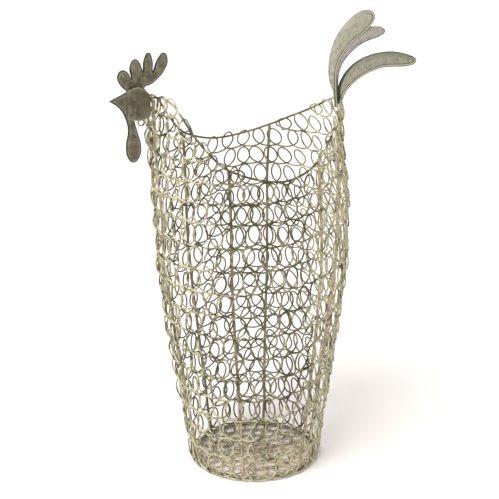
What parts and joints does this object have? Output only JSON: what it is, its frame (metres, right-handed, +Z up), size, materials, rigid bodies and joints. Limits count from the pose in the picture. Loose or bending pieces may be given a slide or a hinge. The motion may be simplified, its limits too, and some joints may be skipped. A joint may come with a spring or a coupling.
{
  "type": "wire basket",
  "caption": "Tall open-topped wire basket shaped like a rooster: a tapering cage of looped wire with a saddle-shaped rim, a sheet-metal head and curved tail feathers.",
  "frame": {"origin": "centre of the base ring, on the floor", "axes": "+Z up, -X towards the rooster's beak, +X towards its tail, -Y its left side; the body's outline is symmetric about y = 0"},
  "size_m": [0.3595, 0.206, 0.5235],
  "materials": {
    "wire": "aged zinc-grey and cream wash over steel wire, worn and slightly rough",
    "head": "dark olive-brown patina over sheet steel, brushed, with paler worn edges",
    "feathers": "pale warm grey wash over sheet steel, matt, with lighter rolled edges"
  },
  "bodies": {
    "root": {"base_ring": "wire", "floor_cross": "wire", "floor_row_1": "wire", "floor_row_2": "wire", "floor_row_3": "wire", "floor_row_4": "wire", "rib_head": "wire", "rib_left_front": "wire", "rib_left_back": "wire", "rib_tail": "wire", "rib_right_back": "wire", "rib_right_front": "wire", "tier_01": "wire", "tier_02": "wire", "tier_03": "wire", "tier_04": "wire", "tier_05": "wire", "tier_06": "wire", "tier_07": "wire", "tier_08": "wire", "tier_09": "wire", "tier_10": "wire", "tier_11": "wire", "tier_12": "wire", "tier_13": "wire", "tier_14": "wire", "tier_neck_1": "wire", "tier_neck_2": "wire", "tier_neck_3": "wire", "tier_neck_4": "wire", "tier_tail_1": "wire", "tier_tail_2": "wire", "rim": "wire", "chin_ring": "wire", "head_plate": "head", "cheek_left": "head", "cheek_right": "head", "feather_upper": "feathers", "feather_middle": "feathers", "feather_lower": "feathers"}
  },
  "joints": []
}
